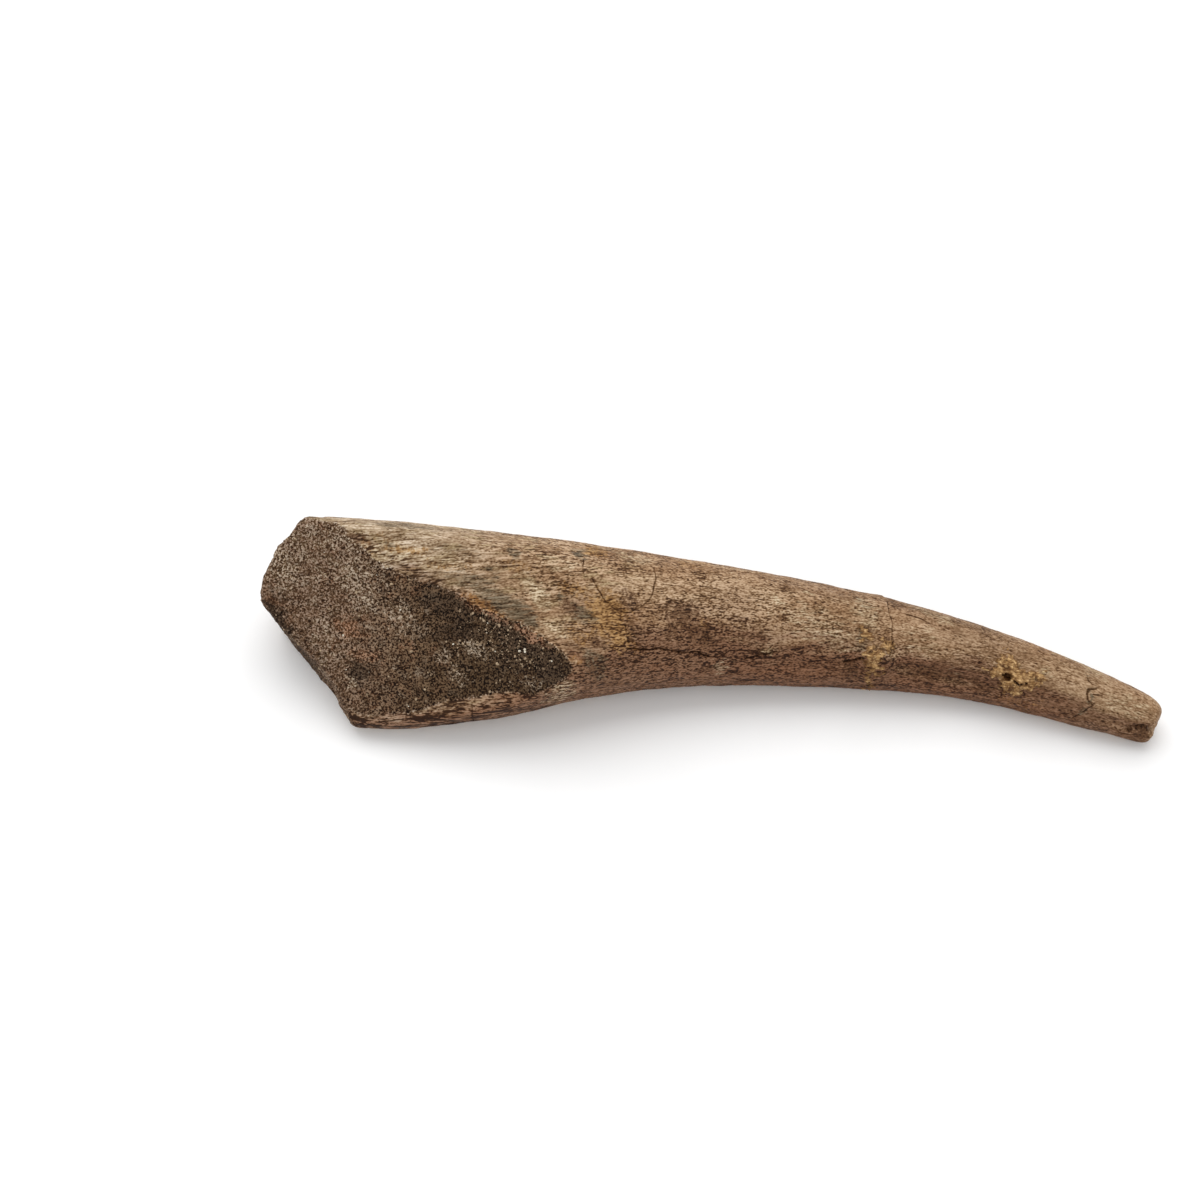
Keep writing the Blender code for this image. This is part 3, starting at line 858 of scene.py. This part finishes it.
# The foot of the flank, darker and redder: partly its stain, partly painted shade where it faces away from
# the light.
FOOT_STAIN_AND_SHADE_BY_BREAK = srgb(107, 74, 51)
FOOT_STAIN_AND_SHADE_OF_SHAFT = srgb(97, 63, 41)
FOOT_STAIN_AND_SHADE_OF_TIP = srgb(110, 78, 55)
SPONGE = srgb(62, 42, 25)
SPONGE_LIGHT = srgb(79, 56, 35)
SPONGE_BY_JOINT = srgb(97, 73, 53)
SPONGE_REDDISH = srgb(78, 51, 31)
SPONGE_GREY = srgb(103, 83, 62)
SPONGE_BY_SHAFT = srgb(50, 33, 17)
CRUST_DARK = srgb(90, 58, 30)
CRUST_LIGHT = srgb(160, 123, 78)

# Stains in the order they were laid: share, colour, strength, the grain that breaks it up and how much.
BONE_STAINS = (
    ("red", srgb(108, 72, 48), 0.85, "streaky", 2.6),
    ("cream", srgb(172, 150, 119), 0.85, "streaky", 2.6),
    ("ochre", srgb(139, 103, 62), 0.95, "dotted", 3.6),
    ("slate", srgb(97, 82, 62), 0.95, "streaky", 2.6),
    ("umber", srgb(86, 58, 36), 0.90, "dotted", 5.0),
    ("rust", srgb(123, 84, 45), 0.95, "dotted", 3.0),
)
SPONGE_STAINS = (
    ("dark_break", srgb(46, 31, 18), 0.95, "dotted", 2.6),
    ("pale_break", srgb(120, 98, 74), 0.80, "dotted", 3.5),
    ("rust", srgb(104, 70, 46), 0.80, "dotted", 3.5),
)

# How far the fine grain darkens and lightens the bone, in stops, and how much of that red and blue take.
DARKEST = -3.2
LIGHTEST = 1.9
RED_PER_STOP = 0.82
BLUE_PER_STOP = 1.24

BONE_GLOSS = 0.14
GRAIN_GLOSS = 0.3
BONE_RELIEF = 0.22 * MM
GRAIN_RELIEF = 0.1 * MM

# A surface's grain: how it lightens and darkens the colour, in stops, and how it stands out.
Grain = namedtuple("Grain", "stops relief")


def new_finish(name):
    material = bpy.data.materials.new(name)
    material.use_nodes = True
    n = Nodes(material.node_tree)
    return material, n, material.node_tree.nodes["Principled BSDF"].inputs


def share_of(n, name):
    return n.add("ShaderNodeAttribute", out="Fac", attribute_name=name)


def thin_lines(n, run, along, across, width):
    """Fine lines along the claw."""
    wave = n.drawn(run, along, across, 0.0)
    return n.ramp(n.math("ABSOLUTE", n.minus(wave, 0.5)), width, 0.01)


def broken_lines(n, run, lines, where, start, end):
    """Thin lines that come and go along the claw."""
    return n.times(thin_lines(n, run, *lines), n.ramp(n.drawn(run, *where, 2.0), start, end))


def cortex_grain(n, run, x, foot_and_shade, strokes):
    """Fine lines and dashes along the claw with small dark pits, calmer towards the tip."""
    streaks = n.drawn(run, 0.5, 2.6, 2.0, 0.6)
    fibres = n.drawn(run, 0.35, 3.8, 1.0, 0.5)
    dashes = n.drawn(run, 2.8, 5.4, 0.6, 0.5)
    bands = n.drawn(run, 0.12, 0.45, 3.0)
    dark_lines = broken_lines(n, run, (0.30, 1.9, 0.07), (0.2, 0.9), 0.40, 0.60)
    pale_lines = broken_lines(n, run, (0.38, 2.3, 0.06), (0.25, 1.1), 0.62, 0.42)
    deep_lines = broken_lines(n, run, (0.20, 1.1, 0.11), (0.3, 0.7), 0.38, 0.52)
    pits = n.ramp(n.cells(n.stretched(run, 1.7, 3.0), 1.0), 0.34, 0.12)
    pits = n.times(pits, n.ramp(n.drawn(run, 0.5, 1.2, 3.0, 0.6), 0.46, 0.60))
    pores = n.ramp(n.cells(n.stretched(run, 0.9, 1.7), 1.0), 0.26, 0.10)
    pores = n.times(pores, n.ramp(n.noise(run, 0.30, 4.0, 0.6), 0.42, 0.62))

    calm = n.ramp(n.drawn(run, 0.3, 0.8, 3.0, scale=0.4), 0.36, 0.64, 0.7, 1.15)
    lively = n.times(n.times(calm, n.ramp(x, -10.0, 60.0, 1.15, 0.52)), n.blend(foot_and_shade, 1.0, 1.6))
    lively = n.times(lively, n.most(foot_and_shade, n.ramp(x, -26.0, -44.0, 1.0, 0.74)))
    lines = n.minus(n.times(pale_lines, 0.6), n.times(dark_lines, 1.1))
    short = n.plus(n.swing(dashes, 5.6), n.swing(strokes, 4.6))
    short = n.times(short, n.ramp(x, -34.0, -12.0, 0.62, 1.0))
    long = n.times(n.swing(fibres, 4.4), n.ramp(x, -4.0, -22.0, 0.45, 1.0))
    stops = n.plus(n.plus(n.swing(streaks, 2.8), short), n.plus(long, lines))
    banded = n.plus(n.times(n.plus(deep_lines, pits), -2.8), n.swing(fibres, 8.0))
    banded = n.times(n.times(foot_and_shade, n.ramp(x, -20.0, -30.0)), banded)
    stops = n.times(n.plus(stops, n.minus(banded, n.times(pits, 1.8))), lively)
    stops = n.plus(stops, n.plus(n.swing(bands, 2.6), n.times(pores, -1.4)))
    stops = n.minus(stops, n.times(n.times(stops, stops), 0.25))

    sunk = n.most(n.times(dark_lines, 0.8), n.most(pits, pores))
    relief = n.plus(n.times(dashes, 0.7), n.times(sunk, -0.35))
    return Grain(stops, relief), n.ramp(streaks, 0.3, 0.7, 0.72, 0.55)


def sponge_grain(n, at, x, coarse, height):
    """The spongy break: dark pores, pale walls that wander between them, and painted shade in its low places.
    """
    fine = n.noise(at, 3.8, 0.9, 0.6, warp=0.35)
    warped = n.vector("ADD", at, n.vector("SCALE", n.noise(at, 1.5, 2.0, out=1), scale=0.6))
    flecks = n.ramp(n.noise(warped, 3.1, 0.5, 0.5), 0.58, 0.72)
    ridge = n.math("ABSOLUTE", n.minus(n.noise(warped, 1.7, 1.0, 0.5), 0.5))
    walls = n.times(n.ramp(ridge, 0.045, 0.005), n.ramp(n.noise(at, 1.1, 2.0), 0.42, 0.58))
    patchy = n.ramp(n.noise(at, 0.45, 4.0, 0.6), 0.38, 0.62, 0.65, 1.3)
    holes = n.ramp(n.noise(warped, 2.3, 1.0, 0.5), 0.42, 0.28)
    stops = n.plus(n.times(n.swing(fine, 14.5), patchy), n.swing(coarse, 2.6))
    stops = n.plus(stops, n.plus(n.times(n.most(walls, flecks), 2.3), n.times(holes, -0.8)))
    stops = n.times(stops, n.ramp(x, -54.0, -40.0, 1.0, 1.7))
    # Painted shade: the break is darker where it lies low and a little lighter where it stands high.
    stops = n.plus(stops, n.ramp(height, 0.10, -0.30, 0.15, -0.8))
    relief = n.plus(n.times(fine, 0.9), n.plus(n.times(walls, 0.25), n.times(holes, -0.35)))
    return Grain(stops, relief)


def cortex_colour(n, run, x, foot_and_shade):
    """The dense outer bone: tan, paler by the joint, browner on the back, where part of the brown is painted
    shade, and red-brown along its foot, which is partly stain and partly painted shade.
    """
    broad = n.drawn(run, 0.35, 1.0, 5.0, 0.6, scale=0.22)
    warm = n.drawn(run, 0.3, 0.8, 5.0, 0.65, scale=0.3, warp=0.4)
    olive = n.drawn(run, 0.25, 0.9, 5.0, 0.65, scale=0.8)
    olive = n.times(n.ramp(olive, 0.50, 0.66, 0.0, 0.75), n.ramp(x, -8.0, -16.0))
    colour = n.tint(n.ramp(broad, 0.36, 0.64), BONE, BONE_LIGHT)
    colour = n.tint(n.ramp(warm, 0.50, 0.68, 0.0, 0.5), colour, BONE_WARM)
    colour = n.tint(n.times(n.ramp(x, -24.0, -46.0), 0.8), colour, BONE_BY_JOINT)
    colour = n.tint(olive, colour, BONE_OLIVE)
    # Brown patches, plus painted shade where the shaft faces back.
    colour = n.tint(n.times(share_of(n, "brown"), 0.9), colour, BONE_BROWN_AND_BACK_SHADE)
    # Darker red-brown foot, partly stain and partly painted shade.
    foot = n.tint(n.ramp(x, 36.0, 56.0), FOOT_STAIN_AND_SHADE_OF_SHAFT, FOOT_STAIN_AND_SHADE_OF_TIP)
    foot = n.tint(n.ramp(x, 6.0, -6.0), foot, FOOT_STAIN_AND_SHADE_BY_BREAK)
    return n.tint(n.times(foot_and_shade, 0.92), colour, foot)


def sponge_colour(n, at, x, coarse):
    """The spongy break: brown, paler by the joint and darkest where it runs out along the shaft."""
    drift = n.noise(at, 0.42, 5.0, 0.65, warp=0.5)
    colour = n.tint(n.ramp(coarse, 0.36, 0.66), SPONGE, SPONGE_LIGHT)
    colour = n.tint(n.ramp(x, -40.0, -56.0, 0.0, 0.85), colour, SPONGE_BY_JOINT)
    colour = n.tint(n.ramp(drift, 0.52, 0.66, 0.0, 0.85), colour, SPONGE_REDDISH)
    colour = n.tint(n.ramp(drift, 0.46, 0.34, 0.0, 0.60), colour, SPONGE_GREY)
    return n.tint(n.ramp(x, -44.0, -31.0, 0.0, 0.85), colour, SPONGE_BY_SHAFT)


def stained(n, colour, stains, grains):
    """The colour with its stains, each broken up by a grain so that its edge is not clean."""
    for name, tone, strength, grain, broken in stains:
        share = n.plus(share_of(n, name), n.swing(grains[grain], broken))
        share = n.times(n.ramp(share, 0.15, 0.90), n.ramp(share_of(n, name), 0.02, 0.25))
        colour = n.tint(n.times(share, strength), colour, tone)
    return colour


def crack_stops(n, at, spongy):
    """How dark the cracks are, in stops: they come and go along their length, and fade in the break."""
    crack = n.ramp(share_of(n, "crack"), 0.22, 0.02, 0.0, -2.4)
    crack = n.times(crack, n.ramp(n.noise(at, 1.1, 3.0), 0.34, 0.54, 0.5, 1.0))
    fine = n.ramp(share_of(n, "fine_crack"), 0.16, 0.02, 0.0, -2.3)
    fine = n.times(fine, n.ramp(n.noise(at, 0.8, 3.0), 0.36, 0.56, 0.25, 1.0))
    return n.times(n.plus(crack, fine), n.minus(1.0, n.times(spongy, 0.8)))


def lightened(n, colour, stops):
    """The colour made lighter or darker. Light grain is a little cooler, and dark grain a little redder."""
    stops = n.most(n.least(stops, LIGHTEST), DARKEST)
    tinge = {0: n.times(stops, RED_PER_STOP), 1: stops, 2: n.times(stops, BLUE_PER_STOP)}
    gain = n.vector("POWER", (2.0, 2.0, 2.0), n.add("ShaderNodeCombineXYZ", tinge))
    return n.vector("MINIMUM", n.vector("MULTIPLY", colour, gain), (0.9, 0.9, 0.9))


def fossil_bone():
    """Broad colours in patches, then one fine grain, counted in stops, that lightens and darkens them all,
    with painted shade in the low places of the break and the crust.
    """
    material, n, shader = new_finish("fossil_bone")
    at = n.vector("SCALE", n.add("ShaderNodeTexCoord", out="Object"), scale=TO_MM)
    run = n.add("ShaderNodeAttribute", out="Vector", attribute_name="along_claw")
    x = n.parts(at)[0]
    spongy, height, foot_and_shade = share_of(n, "spongy"), share_of(n, "height"), share_of(n, "lower_flank")
    sandy = n.ramp(share_of(n, "sandstone"), 0.20, 0.70)
    coarse = n.noise(at, 0.8, 5.0, 0.65)
    strokes = n.drawn(run, 1.3, 4.8, 0.8, 0.5)
    crumbs = n.noise(at, 1.5, 6.0, 0.75)

    grains = {
        "streaky": n.drawn(run, 0.4, 1.8, 6.0, 0.75, scale=1.3),
        "dotted": n.noise(at, 1.8, 5.0, 0.75),
    }
    cortex = stained(n, cortex_colour(n, run, x, foot_and_shade), BONE_STAINS, grains)
    sponge = stained(n, sponge_colour(n, at, x, coarse), SPONGE_STAINS, grains)
    crust = n.tint(n.ramp(crumbs, 0.36, 0.64), CRUST_DARK, CRUST_LIGHT)
    colour = n.tint(sandy, n.tint(spongy, cortex, sponge), crust)

    cortex_detail, cortex_roughness = cortex_grain(n, run, x, foot_and_shade, strokes)
    sponge_detail = sponge_grain(n, at, x, coarse, height)
    # The crust's grain, with painted shade in its low places and a painted highlight on its lumps.
    crust_stops = n.plus(n.swing(strokes, 5.0), n.ramp(height, 0.35, -0.15, 0.5, -1.3))
    stops = n.blend(sandy, n.blend(spongy, cortex_detail.stops, sponge_detail.stops), crust_stops)
    stops = n.plus(stops, crack_stops(n, at, spongy))

    n.put(shader["Base Color"], lightened(n, colour, stops))
    n.put(shader["Roughness"], n.blend(spongy, cortex_roughness, 0.85))
    shader["Specular IOR Level"].default_value = BONE_GLOSS
    relief = n.blend(spongy, cortex_detail.relief, sponge_detail.relief)
    bump = {"Strength": 0.6, "Distance": BONE_RELIEF, "Height": relief}
    n.put(shader["Normal"], n.add("ShaderNodeBump", bump, out="Normal"))
    return material


def mineral_grain(name, dark, light, rare):
    """Grains of one family, from dark to light, a few of them rarer and paler."""
    material, n, shader = new_finish(name)
    at = n.vector("SCALE", n.add("ShaderNodeTexCoord", out="Object"), scale=TO_MM)
    tone = share_of(n, "tone")
    mottle = n.noise(at, 3.0, 5.0, 0.7)
    colour = n.tint(n.ramp(tone, 0.1, 0.85), dark, light)
    colour = n.tint(n.ramp(tone, 0.95, 0.98), colour, rare)
    colour = n.tint(n.ramp(mottle, 0.5, 0.3, 0.0, 0.5), colour, dark)
    n.put(shader["Base Color"], colour)
    n.put(shader["Roughness"], n.ramp(mottle, 0.3, 0.7, 0.85, 0.6))
    shader["Specular IOR Level"].default_value = GRAIN_GLOSS
    bump = {"Strength": 0.4, "Distance": GRAIN_RELIEF, "Height": mottle}
    n.put(shader["Normal"], n.add("ShaderNodeBump", bump, out="Normal"))
    return material


def table_card():
    material, n, shader = new_finish("table_card")
    at = n.add("ShaderNodeTexCoord", out="Object")
    tone = n.noise(at, 40.0, 3.0)
    n.put(shader["Base Color"], n.tint(n.ramp(tone, 0.3, 0.7), (0.93, 0.93, 0.93), (0.95, 0.95, 0.95)))
    shader["Roughness"].default_value = 0.8
    return material


# ---------------------------------------------------------------- making the pieces

TABLE_HALF = 1.5
UNDER_THE_CLAW = 0.05 * MM

# Guides for the cracks: the lines, how far they wander, and the seed.
CRACK_GUIDES = {
    "open_cracks": (OPEN_CRACKS, 0.10, 5),
    "fine_cracks": (FINE_CRACKS, 0.07, 6),
    "clefts": (CLEFTS, 0.05, 7),
    "ledge": ({"seam": FINE_CRACKS["seam"]}, 0.05, 8),
}
WEATHER = {
    "Fibre depth": 0.09,
    "Swell": 0.45,
    "Pore depth": 0.28,
    "Crust height": 0.66,
    "Crack depth": 0.35,
    "Crack half-width": 0.24,
    "Cleft depth": 0.90,
    "Ledge height": 0.22,
}
WEATHER_SEED = 3

# Loose grains: their finish, what they stick to and where, dark, light and rare colours, sizes and seed.
LOOSE_GRAINS = {
    "break_grains": {
        "finish": "break_grain",
        "where": "spongy",
        "spots": GRITTY,
        "colours": (srgb(96, 74, 54), srgb(170, 148, 120), srgb(222, 214, 196)),
        "sizes": {
            "Grains per square metre": 5.0e6,
            "Strays": 0.05,
            "Smallest grain": 0.08 * MM,
            "Largest grain": 0.28 * MM,
        },
        "seed": 21,
    },
    "sand_grains": {
        "finish": "sand_grain",
        "where": "sandstone",
        "spots": SANDSTONE,
        "colours": (srgb(92, 64, 38), srgb(158, 124, 82), srgb(186, 160, 120)),
        "sizes": {
            "Grains per square metre": 1.7e6,
            "Strays": 1.0,
            "Smallest grain": 0.07 * MM,
            "Largest grain": 0.30 * MM,
        },
        "seed": 22,
    },
}


def lay_table():
    bm = bmesh.new()
    bmesh.ops.create_grid(bm, x_segments=4, y_segments=4, size=TABLE_HALF)
    table = mesh_object("table", bm)
    table.location.z = -UNDER_THE_CLAW
    table.data.materials.append(table_card())


def make_claw():
    skin = even_skin()
    skin_tree = BVHTree.FromObject(skin, bpy.context.evaluated_depsgraph_get())
    guides = {
        name: crack_lines(name, cracks, skin_tree, wobble, seed)
        for name, (cracks, wobble, seed) in CRACK_GUIDES.items()
    }
    guides["break_outline"] = flat_outline("break_outline", BREAK_OUTLINE)
    for reach in CRACK_HALVINGS:
        refine_near(skin, (guides["open_cracks"], guides["fine_cracks"]), reach)
    bone = fossil_bone()
    tree = weathering(bone, guides, WEATHER, WEATHER_SEED)
    finished_mesh(skin, tree, WEATHER, WEATHER_SEED, bone)
    for guide in guides.values():
        bpy.data.objects.remove(guide)
    return skin


def make_grains(claw, name, finish, where, spots, colours, sizes, seed):
    """Loose grains on the finished claw, as a mesh of their own."""
    material = mineral_grain(finish, *colours)
    grains = bpy.data.objects.new(name, claw.data.copy())
    bpy.context.scene.collection.objects.link(grains)
    tree = scattered_grains(material, name, where, spots, sizes, seed)
    return finished_mesh(grains, tree, sizes, seed, material)


def main():
    make_camera()
    light_the_table()
    lay_table()
    claw = make_claw()
    grains = [make_grains(claw, name, **settings) for name, settings in LOOSE_GRAINS.items()]
    for piece in (claw, *grains):
        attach(piece, "root")
    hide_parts("claw")


main()
